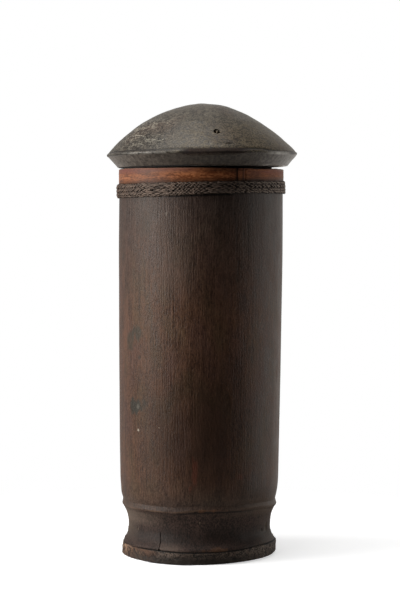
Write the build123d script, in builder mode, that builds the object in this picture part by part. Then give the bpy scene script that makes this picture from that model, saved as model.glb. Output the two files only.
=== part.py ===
from build123d import *
from math import atan, atan2, cos, degrees, radians, sin
import os

os.makedirs("parts", exist_ok=True)

# Upright lidded container, in millimetres. The origin is the centre of the base's underside, +Z is up,
# and the front, where the hoop's seam and one lid peg show, faces -Y.

# Heights of the tube, each counted from the ring below it
base_thickness = 9.4  # rim of the base disc, under the foot
lip_height = 2.2  # straight lip along the foot's lower edge
waist_rise = 13.8  # from the base seam to the narrowest ring of the foot
ridge_rise = 16.8  # from the waist to the crest of the nodal ridge
groove_rise = 4.0  # from the ridge to the groove above it
shoulder_rise = 17.6  # from the groove to the foot of the barrel
barrel_height = 227.6  # from the shoulder to the ledge that the hoop stands on
hoop_height = 17.4  # from that ledge to the rim

# Radii of the tube, each taken from its neighbour
barrel_radius = 65.1  # at the hoop's ledge
barrel_taper = 2.0  # how much narrower the barrel's foot is
barrel_belly = 0.55  # bow of the barrel's side away from a straight taper
groove_inset = 2.4
ridge_proud = 0.8
waist_depth = 5.2
foot_flare = 4.7
base_proud = 0.3  # base disc beyond the foot's lip

# Walls and hollows
wall = 7.9  # between barrel and bore at the hoop's ledge
foot_wall = 9.3  # between the waist and the socket in the foot
node_wall = 5.0  # natural cross wall at the node, the container's floor
floor_round = 6.0
mouth_ease = 0.8

# Small rounds on worn edges
ridge_round = 1.0
lip_round = 1.6
seam_ease = 0.6
base_round = 2.6

# Base plug and its pegs
spigot_fit = 0.15
spigot_end_gap = 0.4
spigot_ease = 1.0
base_peg_count = 6
base_peg_diameter = 2.6
base_peg_height = 18.0  # mean height of the pegs over the base seam
base_peg_stagger = 5.0  # alternate pegs lie this much higher or lower
base_peg_edge = 5.0  # from the upper pegs to the top of the plug
base_peg_grip = 12.0  # length of each peg inside the plug
base_peg_start = -88.8  # first peg, just right of the front
peg_fit = 0.05
peg_end_gap = 0.3

# Rim hoop
hoop_thickness = 3.0
hoop_proud = 0.25  # hoop beyond the barrel
hoop_fit = 0.1
hoop_round = 0.5
seam_angle = -64.6  # the outer end of the lap, right of the front
lap_length = 6.4
lap_gap = 0.3

# Plaited collar
collar_height = 10.8
collar_thickness = 2.0
collar_fit = 0.2
collar_lift = 1.5  # from the hoop's ledge up to the middle of the collar
collar_skew = 1.5  # degrees, rising to the right
collar_round = 0.9

# Lid
lid_overlap = 1.1  # lid's flat underside beyond the hoop
bevel_run = 9.6
bevel_height = 10.8
dome_height = 40.5  # from the lid's edge to its top
crown_radius = 30.0  # where the round crown runs into the straighter flank
crown_drop = 6.1
arris_round = 0.7
lid_gap_left = 0.3  # the lid sits askew: its underside over the rim at the left
lid_gap_right = 2.6  # and at the right

# Lid plug and its pegs
plug_play = 1.6  # between plug and bore, all round
plug_drop = 22.0
plug_socket_depth = 6.0
plug_fit = 0.15
plug_ease = 2.0
lid_peg_count = 3
lid_peg_diameter = 3.0
lid_peg_climb = 22.0  # from the lid's edge up the flank to each peg
lid_peg_grip = 10.0
lid_peg_start = -78.8  # first peg, just right of the front
peg_mouth_diameter = 4.8  # worn mouth of each peg hole
peg_mouth_depth = 4.0
peg_recess = 1.2  # peg's end below the dome's surface

# Levels worked out from the heights
seam_z = base_thickness
lip_z = seam_z + lip_height
waist_z = seam_z + waist_rise
ridge_z = waist_z + ridge_rise
groove_z = ridge_z + groove_rise
shoulder_z = groove_z + shoulder_rise
ledge_z = shoulder_z + barrel_height
rim_z = ledge_z + hoop_height
spigot_height = base_peg_height + base_peg_stagger + base_peg_edge
node_z = seam_z + spigot_height + spigot_end_gap
floor_z = node_z + node_wall

# Radii worked out from their neighbours
shoulder_radius = barrel_radius - barrel_taper
groove_radius = shoulder_radius - groove_inset
ridge_radius = groove_radius + ridge_proud
waist_radius = ridge_radius - waist_depth
lip_radius = waist_radius + foot_flare
base_radius = lip_radius + base_proud
bore_radius = barrel_radius - wall
socket_radius = waist_radius - foot_wall
hoop_radius = barrel_radius + hoop_proud
hoop_inner_radius = hoop_radius - hoop_thickness
neck_radius = hoop_inner_radius - hoop_fit
lid_seat_radius = hoop_radius + lid_overlap
lid_radius = lid_seat_radius + bevel_run
lid_top = bevel_height + dome_height
plug_radius = bore_radius - plug_play


def leaning_plane(origin, lean):
    """A level plane at origin, turned about Y so that its +X side rises by lean degrees."""
    rise = sin(radians(lean))
    run = cos(radians(lean))
    return Plane(origin=origin, x_dir=(run, 0, rise), z_dir=(-rise, 0, run))


def section_plane(level):
    """The upright plane through a level plane's middle: sketch x is radius, sketch y is height."""
    return Plane(origin=level.origin, x_dir=level.x_dir, z_dir=-level.y_dir)


def turned(angle):
    """A turn about Z by angle degrees."""
    return Location((0, 0, 0), (0, 0, angle))


def corner(section, radius, height):
    """The corner of a section as it stands now that is nearest to a radius and a height."""
    return section.vertices().sort_by_distance((radius, height))[0]


# Outside of the tube, as a full form that also trims the base pegs flush
with BuildPart() as outer_form:
    with BuildSketch(Plane.XZ) as form_section:
        with BuildLine():
            Polyline((0, rim_z), (0, seam_z), (lip_radius, seam_z), (lip_radius, lip_z))
            waist = (waist_radius, waist_z)
            TangentArc(waist, (lip_radius, lip_z), tangent=(0, -1))
            TangentArc(waist, (ridge_radius, ridge_z), tangent=(0, 1))
            Line((ridge_radius, ridge_z), (groove_radius, groove_z))
            middle_radius = (shoulder_radius + barrel_radius) / 2 + barrel_belly
            barrel = ThreePointArc(
                (shoulder_radius, shoulder_z),
                (middle_radius, (shoulder_z + ledge_z) / 2),
                (barrel_radius, ledge_z),
            )
            TangentArc(barrel @ 0, (groove_radius, groove_z), tangent=(barrel % 0) * -1)
            Polyline((barrel_radius, ledge_z), (neck_radius, ledge_z), (neck_radius, rim_z), (0, rim_z))
        make_face()
        fillet(corner(form_section, ridge_radius, ridge_z), ridge_round)
        fillet(corner(form_section, lip_radius, lip_z), lip_round)
        fillet(corner(form_section, lip_radius, seam_z), seam_ease)
    revolve(axis=Axis.Z)

# Base pegs run square to the axis, alternately high and low, each on a plane that faces outward
base_peg_planes = []
for index in range(base_peg_count):
    angle = radians(base_peg_start + index * 360 / base_peg_count)
    outward = Vector(cos(angle), sin(angle), 0)
    step = base_peg_stagger if index % 2 == 0 else -base_peg_stagger
    level = Vector(0, 0, seam_z + base_peg_height + step)
    base_peg_planes.append(Plane(origin=outward * base_radius + level, z_dir=outward))
base_peg_radius = base_peg_diameter / 2
base_peg_length = base_radius - socket_radius + base_peg_grip
base_peg_depth = base_peg_length + peg_end_gap

with BuildPart() as body_tube:
    add(outer_form.part)
    with BuildSketch(Plane.XZ) as bore_section:
        with Locations((0, floor_z)):
            Rectangle(bore_radius, rim_z - floor_z, align=(Align.MIN, Align.MIN))
        fillet(corner(bore_section, bore_radius, floor_z), floor_round)
    revolve(axis=Axis.Z, mode=Mode.SUBTRACT)
    with BuildSketch(Plane.XZ):
        with Locations((0, seam_z)):
            Rectangle(socket_radius, node_z - seam_z, align=(Align.MIN, Align.MIN))
    revolve(axis=Axis.Z, mode=Mode.SUBTRACT)
    rim_edges = body_tube.edges().filter_by(GeomType.CIRCLE).group_by(Axis.Z)[-1]
    chamfer(rim_edges.sort_by(SortBy.RADIUS)[0], mouth_ease)
    with Locations(*base_peg_planes):
        Hole(base_peg_radius + peg_fit, depth=base_peg_depth)
body_tube.part.label = "body_tube"
export_step(body_tube.part, "parts/body_tube.step")

with BuildPart() as base_disc:
    with BuildSketch(Plane.XZ) as base_section:
        Rectangle(base_radius, base_thickness, align=(Align.MIN, Align.MIN))
        spigot_radius = socket_radius - spigot_fit
        Rectangle(spigot_radius, base_thickness + spigot_height, align=(Align.MIN, Align.MIN))
        fillet(corner(base_section, base_radius, 0), base_round)
        fillet(corner(base_section, base_radius, seam_z), seam_ease)
        chamfer(corner(base_section, spigot_radius, seam_z + spigot_height), spigot_ease)
    revolve(axis=Axis.Z)
    with Locations(*base_peg_planes):
        Hole(base_peg_radius + peg_fit, depth=base_peg_depth)
base_disc.part.label = "base_disc"
export_step(base_disc.part, "parts/base_disc.step")

with BuildPart() as base_pegs:
    with Locations(*base_peg_planes):
        Cylinder(base_peg_radius, base_peg_length, align=(Align.CENTER, Align.CENTER, Align.MAX))
    add(outer_form.part, mode=Mode.INTERSECT)
base_pegs.part.label = "base_pegs"
export_step(base_pegs.part, "parts/base_pegs.step")

# The hoop is one strip: its half-thickness ends lap, so the slit between them steps at mid-thickness
with BuildPart() as rim_hoop:
    with BuildSketch(Plane.XY.offset(ledge_z)):
        Circle(hoop_radius)
        Circle(hoop_inner_radius, mode=Mode.SUBTRACT)
        lap_radius = (hoop_radius + hoop_inner_radius) / 2
        lap_angle = degrees(lap_length / lap_radius)
        with BuildLine():
            lap = CenterArc((0, 0), lap_radius, seam_angle, lap_angle)
            PolarLine(lap @ 0, hoop_thickness, seam_angle)
            PolarLine(lap @ 1, hoop_thickness, seam_angle + lap_angle + 180)
        trace(line_width=lap_gap, mode=Mode.SUBTRACT)
    extrude(amount=hoop_height)
    rim_edges = rim_hoop.edges().filter_by(GeomType.CIRCLE).group_by(Axis.Z)[-1]
    fillet(rim_edges.sort_by(SortBy.RADIUS)[-1], hoop_round)
rim_hoop.part.label = "rim_hoop"
export_step(rim_hoop.part, "parts/rim_hoop.step")

collar_plane = leaning_plane((0, 0, ledge_z + collar_lift), collar_skew)
with BuildPart() as plaited_collar:
    with BuildSketch(section_plane(collar_plane)) as collar_section:
        with Locations((hoop_radius + collar_fit, 0)):
            Rectangle(collar_thickness, collar_height, align=(Align.MIN, Align.CENTER))
        fillet(collar_section.vertices().group_by(Axis.X)[-1], collar_round)
    revolve(axis=Axis(collar_plane.origin, collar_plane.z_dir))
plaited_collar.part.label = "plaited_collar"
export_step(plaited_collar.part, "parts/plaited_collar.step")

# The lid rests askew in the mouth: half its play to the right, and higher there than at the left
lid_gap = (lid_gap_left + lid_gap_right) / 2
lid_lean = degrees(atan((lid_gap_right - lid_gap_left) / (2 * hoop_radius)))
lid_plane = leaning_plane((plug_play / 2, 0, rim_z + lid_gap), lid_lean)

with BuildPart() as lid_dome:
    with BuildSketch(section_plane(lid_plane)) as dome_section:
        with BuildLine():
            crown = TangentArc((0, lid_top), (crown_radius, lid_top - crown_drop), tangent=(1, 0))
            flank = TangentArc(crown @ 1, (lid_radius, bevel_height), tangent=crown % 1)
            Polyline(
                (lid_radius, bevel_height),
                (lid_seat_radius, 0),
                (plug_radius + plug_fit, 0),
                (plug_radius + plug_fit, plug_socket_depth),
                (0, plug_socket_depth),
                (0, lid_top),
            )
        make_face()
        fillet(corner(dome_section, lid_radius, bevel_height), arris_round)
    revolve(axis=Axis(lid_plane.origin, lid_plane.z_dir))
    # Each peg stands square to the flank and runs down into the plug
    peg_share = 1 - lid_peg_climb / flank.length
    peg_point = flank @ peg_share
    peg_slope = flank % peg_share
    peg_tilt = atan2(-peg_slope.Y, peg_slope.X)
    peg_seat = Location((peg_point.X, 0, peg_point.Y), (0, degrees(peg_tilt), 0))
    lid_peg_angles = [lid_peg_start + index * 360 / lid_peg_count for index in range(lid_peg_count)]
    lid_peg_places = [lid_plane.location * turned(angle) * peg_seat for angle in lid_peg_angles]
    lid_peg_radius = lid_peg_diameter / 2
    lid_peg_depth = (peg_point.Y - plug_socket_depth) / cos(peg_tilt) + lid_peg_grip
    with Locations(*lid_peg_places):
        CounterBoreHole(
            radius=lid_peg_radius + peg_fit,
            counter_bore_radius=peg_mouth_diameter / 2,
            counter_bore_depth=peg_mouth_depth,
            depth=lid_peg_depth,
        )
lid_dome.part.label = "lid_dome"
export_step(lid_dome.part, "parts/lid_dome.step")

with BuildPart() as lid_plug:
    with BuildSketch(lid_plane.offset(-plug_drop)):
        Circle(plug_radius)
    extrude(amount=plug_drop + plug_socket_depth)
    chamfer(lid_plug.faces().sort_by(Axis.Z)[0].edges(), plug_ease)
    with Locations(*lid_peg_places):
        Hole(lid_peg_radius + peg_fit, depth=lid_peg_depth)
lid_plug.part.label = "lid_plug"
export_step(lid_plug.part, "parts/lid_plug.step")

with BuildPart() as lid_pegs:
    peg_ends = [place * Location((0, 0, -peg_recess)) for place in lid_peg_places]
    with Locations(*peg_ends):
        Cylinder(
            lid_peg_radius,
            lid_peg_depth - peg_recess - peg_end_gap,
            align=(Align.CENTER, Align.CENTER, Align.MAX),
        )
lid_pegs.part.label = "lid_pegs"
export_step(lid_pegs.part, "parts/lid_pegs.step")
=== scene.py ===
import math

import bmesh
import bpy
import numpy as np
from mathutils import Matrix, Vector
from mathutils.bvhtree import BVHTree


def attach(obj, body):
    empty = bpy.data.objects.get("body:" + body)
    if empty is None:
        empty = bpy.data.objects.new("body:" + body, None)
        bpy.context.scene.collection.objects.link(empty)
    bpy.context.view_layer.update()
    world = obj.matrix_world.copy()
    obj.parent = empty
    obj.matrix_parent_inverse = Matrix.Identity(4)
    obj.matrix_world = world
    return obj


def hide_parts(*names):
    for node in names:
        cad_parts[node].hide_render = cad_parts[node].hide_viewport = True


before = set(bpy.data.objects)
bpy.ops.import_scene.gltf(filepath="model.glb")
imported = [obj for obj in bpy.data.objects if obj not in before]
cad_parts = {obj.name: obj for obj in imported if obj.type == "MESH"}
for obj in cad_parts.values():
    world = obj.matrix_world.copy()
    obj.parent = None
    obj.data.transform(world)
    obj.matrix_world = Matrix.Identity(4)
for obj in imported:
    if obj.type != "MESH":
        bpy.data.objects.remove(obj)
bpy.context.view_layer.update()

# Lengths are in millimetres until they reach a mesh, a lamp or the camera. Azimuth is in degrees right of
# the front, which is -Y.
MM = 0.001
OPEN_AZIMUTH = 34.0  # between two pegs, where the solids are measured
FAR = 500.0  # outside every solid
UP = Vector((0, 0, 1))


# Measuring the solids


def node_points(node):
    """The corners of a CAD node's faces."""
    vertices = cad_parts[node].data.vertices
    flat = np.zeros(len(vertices) * 3)
    vertices.foreach_get("co", flat)
    return flat.reshape(-1, 3) / MM


def node_skin(node, points):
    """A search tree over a CAD node's faces, its corners given."""
    faces = [face.vertices[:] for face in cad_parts[node].data.polygons]
    return BVHTree.FromPolygons([Vector(point) for point in points], faces)


def outward(azimuth):
    """The level direction of an azimuth."""
    turn = math.radians(azimuth)
    return Vector((math.sin(turn), -math.cos(turn), 0))


def ring_radius(skin, height):
    """Radius of the outermost surface at a height."""
    direction = outward(OPEN_AZIMUTH)
    found = skin.ray_cast(direction * FAR + UP * height, -direction)[0]
    return math.hypot(found.x, found.y)


def inner_radius(skin, height):
    """Radius of the first surface met on the way out from the axis."""
    found = skin.ray_cast(UP * height, outward(OPEN_AZIMUTH))[0]
    return math.hypot(found.x, found.y)


def top_height(skin, radius):
    """Height of the first surface met on the way down at a radius."""
    return skin.ray_cast(outward(OPEN_AZIMUTH) * radius + UP * FAR, -UP)[0].z


def under_height(skin, radius):
    """Height of the first surface met on the way up from the ground at a radius."""
    return skin.ray_cast(outward(OPEN_AZIMUTH) * radius, UP)[0].z


def azimuth_of(points):
    """Azimuth of each point."""
    return np.degrees(np.arctan2(points[:, 0], -points[:, 1]))


def reach_of(points):
    """Distance of each point from the axis."""
    return np.hypot(points[:, 0], points[:, 1])


def middle_of(points):
    """The middle of the box round some points."""
    return (points.min(0) + points.max(0)) / 2


def peg_groups(points):
    """The corners of a node of several pegs, split into one group for each peg."""
    least_gap = 15
    azimuth = azimuth_of(points)
    order = np.argsort(azimuth)
    breaks = np.flatnonzero(np.diff(azimuth[order]) > least_gap) + 1
    groups = np.split(points[order], breaks)
    if azimuth.max() - azimuth.min() > 360 - least_gap:
        groups[0] = np.vstack([groups[0], groups.pop()])
    return groups


def frame_about(axis):
    """A turned frame, its third axis given and its first one square to Y."""
    side = Vector((axis.z, 0, -axis.x)).normalized()
    return Matrix((side, axis.cross(side), axis)).transposed()


def into_frame(points, matrix):
    """Points seen in a frame of their own."""
    return (points - np.array(matrix.translation)) @ np.array(matrix.to_3x3())


def out_of_frame(points, matrix):
    """Points of a frame of their own, back in the shared frame."""
    return points @ np.array(matrix.to_3x3()).T + np.array(matrix.translation)


# Smooth steps and random fields


def ease(share):
    """A smooth step from 0 to 1."""
    share = np.clip(share, 0, 1)
    return share * share * (3 - 2 * share)


def hump(distance, reach):
    """1 at no distance, falling smoothly to 0 at reach."""
    return ease(1 - np.abs(distance) / reach)


def band(value, start, full, hold, end):
    """A share that rises from start to full, holds, and falls to nothing at end."""
    return ease((value - start) / (full - start)) * ease((end - value) / (end - hold))


def wrapped(angle):
    """An angle brought between -180 and 180 degrees."""
    return (angle + 180) % 360 - 180


def on_grid(table, across, upward):
    """The numbers of a table, with smooth steps between them and repeated both ways."""
    rows, columns = table.shape
    column = np.floor(across).astype(int)
    row = np.floor(upward).astype(int)
    side = ease(across - column)
    up = ease(upward - row)
    left, right = column % columns, (column + 1) % columns
    lower, upper = row % rows, (row + 1) % rows
    low = table[lower, left] * (1 - side) + table[lower, right] * side
    high = table[upper, left] * (1 - side) + table[upper, right] * side
    return low * (1 - up) + high * up


def patches(turn, rise, around, along, seed):
    """A smooth random field from -1 to 1: turn counts turns and wraps, rise runs from 0 to 1."""
    table = np.random.default_rng(seed).uniform(-1, 1, (along + 2, around))
    return on_grid(table, np.mod(turn, 1.0) * around, np.clip(rise, 0, 1) * along)


def ripple(turn, around, seed):
    """A smooth random wave from -1 to 1 along whole turns."""
    return patches(turn, 0 * turn, around, 1, seed)


def strokes(across, along, width, length, seed):
    """A smooth random field of strokes of a width and a length, from -1 to 1."""
    table = np.random.default_rng(seed).uniform(-1, 1, (64, 64))
    return on_grid(table, across / width, along / length)


def between(start, end, step):
    """Even steps from start to end, both kept."""
    return np.linspace(start, end, max(2, int(round(abs(end - start) / step)) + 1))


def azimuths(step, finer=()):
    """Azimuths round the whole turn, step apart, with finer spans given as (middle, half width, step)."""
    every = np.arange(-180, 180, step)
    for middle, half, fine in finer:
        every = every[np.abs(wrapped(every - middle)) > half + fine / 2]
        span = np.arange(middle - half, middle + half + fine / 2, fine)
        every = np.concatenate([every, wrapped(span)])
    return np.sort(every)


# Making meshes


def ring_faces(rows, columns, closed=False):
    """Four-sided faces between neighbouring rings; closed also joins the last ring to the first."""
    row, column = np.meshgrid(np.arange(rows if closed else rows - 1), np.arange(columns), indexing="ij")
    below = (row + 1) % rows
    beside = (column + 1) % columns
    corners = [row * columns + column, below * columns + column]
    corners += [below * columns + beside, row * columns + beside]
    return np.stack(corners, axis=-1).reshape(-1, 4).tolist()


def cap_faces(first, columns, pole):
    """Three-sided faces from a ring to one point."""
    return [[first + column, first + (column + 1) % columns, pole] for column in range(columns)]


def rods(forms, closed=False):
    """Points and faces of several rods, given as rings of points; each is closed on itself or at its ends."""
    points, faces = [], []
    for form in forms:
        rows, columns = form.shape[:2]
        made = ring_faces(rows, columns, closed)
        if not closed:
            made += [list(range(columns)), list(range((rows - 1) * columns, rows * columns))]
        faces += [[len(points) + number for number in face] for face in made]
        points += list(form.reshape(-1, 3))
    return np.array(points), faces


def make_piece(name, points, faces, sharp_angle):
    """A smooth-shaded object with its faces turned outward."""
    mesh = bpy.data.meshes.new(name)
    mesh.from_pydata((np.asarray(points) * MM).tolist(), [], faces)
    work = bmesh.new()
    work.from_mesh(mesh)
    bmesh.ops.recalc_face_normals(work, faces=work.faces)
    work.to_mesh(mesh)
    work.free()
    mesh.polygons.foreach_set("use_smooth", [True] * len(mesh.polygons))
    mesh.set_sharp_from_angle(angle=math.radians(sharp_angle))
    piece = bpy.data.objects.new(name, mesh)
    bpy.context.scene.collection.objects.link(piece)
    return piece


def round_points(azimuth, radius, height):
    """Points from azimuths, radii and heights."""
    turn = np.radians(azimuth)
    return np.stack([radius * np.sin(turn), -radius * np.cos(turn), height], axis=-1)


def spread(rings, azimuth):
    """Grids of each ring's radius, height and outer share and of the azimuth, a row for each ring."""
    around = azimuth[None, :] + np.zeros((len(rings), 1))
    radius, height, outer = (column[:, None] + 0 * around for column in np.array(rings).T)
    return radius, height, outer, around


def turned_piece(name, azimuth, radius, height, sharp_angle, matrix=Matrix()):
    """A closed turned form from rings of radii and heights, its first and last ring closed on the axis."""
    rows, columns = radius.shape
    points = round_points(azimuth[None, :] + 0 * radius, radius, height).reshape(-1, 3)
    poles = [[0, 0, height[0].mean()], [0, 0, height[-1].mean()]]
    points = out_of_frame(np.vstack([points, poles]), matrix)
    faces = ring_faces(rows, columns)
    faces += cap_faces(0, columns, rows * columns)
    faces += cap_faces((rows - 1) * columns, columns, rows * columns + 1)
    return make_piece(name, points, faces, sharp_angle)


def set_fields(piece, fields):
    """Keeps named numbers on the points of a piece for its material; points past a row's end get 0."""
    for name, values in fields.items():
        full = np.zeros(len(piece.data.vertices), np.float32)
        full[:np.size(values)] = np.ravel(values)
        piece.data.attributes.new(name, "FLOAT", "POINT").data.foreach_set("value", full)


def dress(piece, node, body, material):
    """Puts a piece in the place of a CAD node, on its body and with its material."""
    piece.data.materials.append(material)
    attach(piece, body)
    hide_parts(node)


# Material nodes


class Value:
    """An output of a material's node; numbers can be added, multiplied and spread."""

    def __init__(self, node, output=0):
        self.tree = node.id_data
        self.socket = node.outputs[output]

    def maths(self, operation, other=0.0, clamp=False):
        """One sum with another value or a plain number."""
        values = {0: self, 1: other}
        return Value(add_node(self.tree, "ShaderNodeMath", values, operation=operation, use_clamp=clamp))

    def __add__(self, other):
        return self.maths("ADD", other)

    def __sub__(self, other):
        return self.maths("SUBTRACT", other)

    def __mul__(self, other):
        return self.maths("MULTIPLY", other)

    def span(self, low, high, out_low=0.0, out_high=1.0):
        """This value taken from one span to another, held at its ends."""
        values = {"Value": self, "From Min": low, "From Max": high, "To Min": out_low, "To Max": out_high}
        return Value(add_node(self.tree, "ShaderNodeMapRange", values, clamp=True))

    def window(self, start, full, hold, end):
        """A share that rises from start to full, holds, and falls to nothing at end."""
        return self.span(start, full) * self.span(end, hold)

    def tint(self, dark, light):
        """A colour from dark, where this value is 0, to light, where it is 1."""
        values = {0: self, 6: shade(dark), 7: shade(light)}
        return Value(add_node(self.tree, "ShaderNodeMix", values, data_type="RGBA", clamp_factor=True), 2)


class Paint:
    """A material under work, with the colour and the bump laid so far."""

    def __init__(self, name):
        self.material = bpy.data.materials.new(name)
        self.material.use_nodes = True
        self.tree = self.material.node_tree
        self.colour = None
        self.bump = None

    def place(self, scale=(1 / MM, 1 / MM, 1 / MM)):
        """Object coordinates, which are in metres, times a scale."""
        source = Value(add_node(self.tree, "ShaderNodeTexCoord", {}), "Object")
        return Value(add_node(self.tree, "ShaderNodeMapping", {"Vector": source, "Scale": scale}))

    def axis(self, letter):
        """One object coordinate, in millimetres."""
        return Value(add_node(self.tree, "ShaderNodeSeparateXYZ", {"Vector": self.place()}), letter)

    def noise(self, scale, detail=2.0, roughness=0.5):
        """A noise value round 0.5, its grains counted per metre along X, Y and Z."""
        values = {"Vector": self.place(scale), "Scale": 1.0, "Detail": detail, "Roughness": roughness}
        return Value(add_node(self.tree, "ShaderNodeTexNoise", values), "Fac")

    def field(self, name):
        """A number kept on the mesh under a name."""
        return Value(add_node(self.tree, "ShaderNodeAttribute", {}, attribute_name=name), "Fac")

    def spot(self, azimuth, height, radius, wide, tall, uneven):
        """A soft spot on a round surface, from 0 to 1, its outline made uneven by a noise value."""
        squeeze = wide / tall
        middle = outward(azimuth) * radius + UP * height * squeeze
        place = self.place((1 / MM, 1 / MM, squeeze / MM))
        apart = add_node(self.tree, "ShaderNodeVectorMath", {0: place, 1: middle}, operation="DISTANCE")
        ragged, faint, full = 2.2 * wide, 0.62 * wide, 0.3 * wide
        return (Value(apart, "Value") + (uneven - 0.5) * ragged).span(faint, full)

    def lay(self, share, tint):
        """Lays a colour over the colour so far, by a share."""
        self.colour = share.tint(self.colour, tint)

    def lay_fields(self, rows):
        """Lays a colour by each field in rows of its name, its low and high end, strength and colour."""
        for name, low, high, strength, tint in rows:
            self.lay(self.field(name).span(low, high, 0, strength), tint)

    def relief(self, height, strength, depth):
        """Adds a bump to the bumps so far."""
        values = {"Height": height, "Strength": strength, "Distance": depth * MM}
        if self.bump:
            values["Normal"] = self.bump
        self.bump = Value(add_node(self.tree, "ShaderNodeBump", values))

    def finish(self, **inputs):
        """Hands colour, bump and further inputs, named with low lines for spaces, to the shader."""
        inputs["Base_Color"] = self.colour
        if self.bump:
            inputs["Normal"] = self.bump
        shader = self.tree.nodes["Principled BSDF"]
        fill_inputs(shader, {name.replace("_", " "): value for name, value in inputs.items()})
        return self.material


def fill_inputs(node, values):
    """Sets the inputs of a node, or links them where they are given as Values."""
    for key, value in values.items():
        if isinstance(value, Value):
            node.id_data.links.new(value.socket, node.inputs[key])
        else:
            node.inputs[key].default_value = value


def add_node(tree, kind, values, **settings):
    """A node with its settings and its inputs."""
    made = tree.nodes.new(kind)
    for name, value in settings.items():
        setattr(made, name, value)
    fill_inputs(made, values)
    return made


def weighted(*parts):
    """Noise values round 0.5, each given with a weight, added up and still round 0.5."""
    total = 0.5 - 0.5 * sum(weight for part, weight in parts)
    for part, weight in parts:
        values = {0: part, 1: weight, 2: total}
        total = Value(add_node(part.tree, "ShaderNodeMath", values, operation="MULTIPLY_ADD"))
    return total


def shade(tint):
    """Red, green and blue as seen on a screen, 0 to 255, made linear; a Value or four numbers stay."""
    if isinstance(tint, Value) or len(tint) == 4:
        return tint
    values = [channel / 255 for channel in tint]
    linear = [v / 12.92 if v < 0.04045 else ((v + 0.055) / 1.055) ** 2.4 for v in values]
    return (*linear, 1.0)


# Camera


def make_camera():
    """The camera at the photograph's angle, in metres."""
    eye = Vector((-0.0002, -1.48, 0.266))
    aim = Vector((-0.0002, 0.0, 0.2026))
    roll_angle = 0.37
    data = bpy.data.cameras.new("camera")
    data.lens = 111.0
    data.sensor_width = 36.0
    camera = bpy.data.objects.new("camera", data)
    bpy.context.scene.collection.objects.link(camera)
    facing = (aim - eye).to_track_quat("-Z", "Y")
    roll = Matrix.Rotation(math.radians(roll_angle), 4, "Z")
    camera.matrix_world = Matrix.Translation(eye) @ facing.to_matrix().to_4x4() @ roll
    bpy.context.scene.camera = camera


# Tube


RIDGE_HEIGHT = 40.0  # the nodal ridge above the foot
CRACK_AZIMUTH = -32.4
CHIP_AZIMUTH = 69.0

# Places where the tube swells or is worn in: azimuth, its reach, height, its reach, and how far out
TUBE_SWELLS = [(88, 40, 12, 4.8, -1.3), (88, 40, 25, 10, 0.5), (88, 40, 41, 5, 0.25), (-88, 40, 48, 7, 0.5)]

# Marks on the tube: azimuth, height, width, height of the mark, strength and colour
TUBE_MARKS = [
    (-47.7, 178.7, 11, 14, 0.62, (52, 53, 46)),
    (-57.7, 170, 12, 12, 0.55, (56, 55, 46)),
    (-47.2, 159.4, 6, 5, 0.5, (50, 46, 40)),
    (-48.2, 121, 13, 14, 0.85, (48, 48, 43)),
    (-48.2, 121, 3, 4, 0.35, (120, 114, 104)),
    # The next row is a painted highlight along the ridge's front
    (10, 42.3, 20, 2.8, 0.36, (146, 98, 66)),
    (-24.3, 270.3, 3, 5.5, 0.65, (176, 168, 158)),
    (-48.5, 102.6, 1.9, 1.9, 0.75, (190, 180, 165)),
    (-29.5, 106, 2.0, 3.2, 0.9, (180, 166, 150)),
    (-3, 70, 4, 18, 0.3, (112, 56, 42)),
    (-5, 60, 5, 6, 0.25, (112, 56, 42)),
    (30.5, 68, 8, 7, 0.35, (110, 60, 46)),
    (14, 11, 15, 4, 0.3, (122, 86, 60)),
]


def tube_rings(skin):
    """The tube's rings from the middle of its floor round to its socket, and the height of its seam."""
    floor = top_height(skin, 5)
    rim = top_height(skin, 60)
    bore = inner_radius(skin, 200)
    socket = inner_radius(skin, 15)
    neck = ring_radius(skin, rim - 3)
    ledge = top_height(skin, neck + 1.5)
    node_under = under_height(skin, 0)
    seam = under_height(skin, socket + 6)
    floor_round = 6.0
    mouth_ease = 0.8
    rings = [(radius, floor, 0) for radius in (6, 16, 28, 40, 47)]
    for turn in np.radians(np.arange(0, 91, 15)):
        radius = bore - floor_round + floor_round * math.sin(turn)
        rings.append((radius, floor + floor_round * (1 - math.cos(turn)), 0))
    rings += [(bore, height, 0) for height in between(floor + floor_round + 6, rim - mouth_ease, 16)]
    rings += [(bore + mouth_ease, rim, 0), ((bore + neck) / 2, rim, 0), (neck, rim, 0)]
    rings += [(neck, rim - 6, 0), (neck, ledge + 4, 0), (neck, ledge, 0)]
    top = ring_radius(skin, ledge - 0.2)
    rings += [((neck + top) / 2, ledge, 0), (top, ledge, 0.2)]
    heights = [between(ledge - 0.8, 64, 3.0), between(63, 47, 1.1), between(46.2, 35.8, 0.38)]
    heights += [between(35.2, 12.2, 0.62), between(11.8, seam + 0.15, 0.3)]
    rings += [(ring_radius(skin, height), height, 1) for height in np.concatenate(heights)]
    lip = ring_radius(skin, seam + 0.15)
    rings += [(lip - 0.35, seam, 1), (lip - 2, seam, 0.5), (lip - 7, seam, 0), (socket, seam, 0)]
    rings += [(socket, height, 0) for height in between(seam + 5, node_under, 8)]
    rings += [(radius, node_under, 0) for radius in (40, 24, 8)]
    return rings, seam


def base_peg_spots():
    """Azimuth and height of each base peg's end, read from the solids."""
    middles = [middle_of(group) for group in peg_groups(node_points("base_pegs"))]
    return [(math.degrees(math.atan2(x, -y)), z) for x, y, z in middles]


def seam_sway(azimuth):
    """How far the seam of foot and base strays from level: up to the right, and up at both sides."""
    side = np.sin(np.radians(azimuth))
    return 1.9 * side + 1.6 * ease(-side / 0.77) + 0.85 * hump(side - 0.81, 0.3)


def seam_dirt(azimuth):
    """How dark the seam of foot and base is: full at the front, faint at the left, darker at its end."""
    return 0.35 + 0.65 * ease((azimuth + 62) / 24) + 0.3 * ease((-66 - azimuth) / 8)


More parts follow.
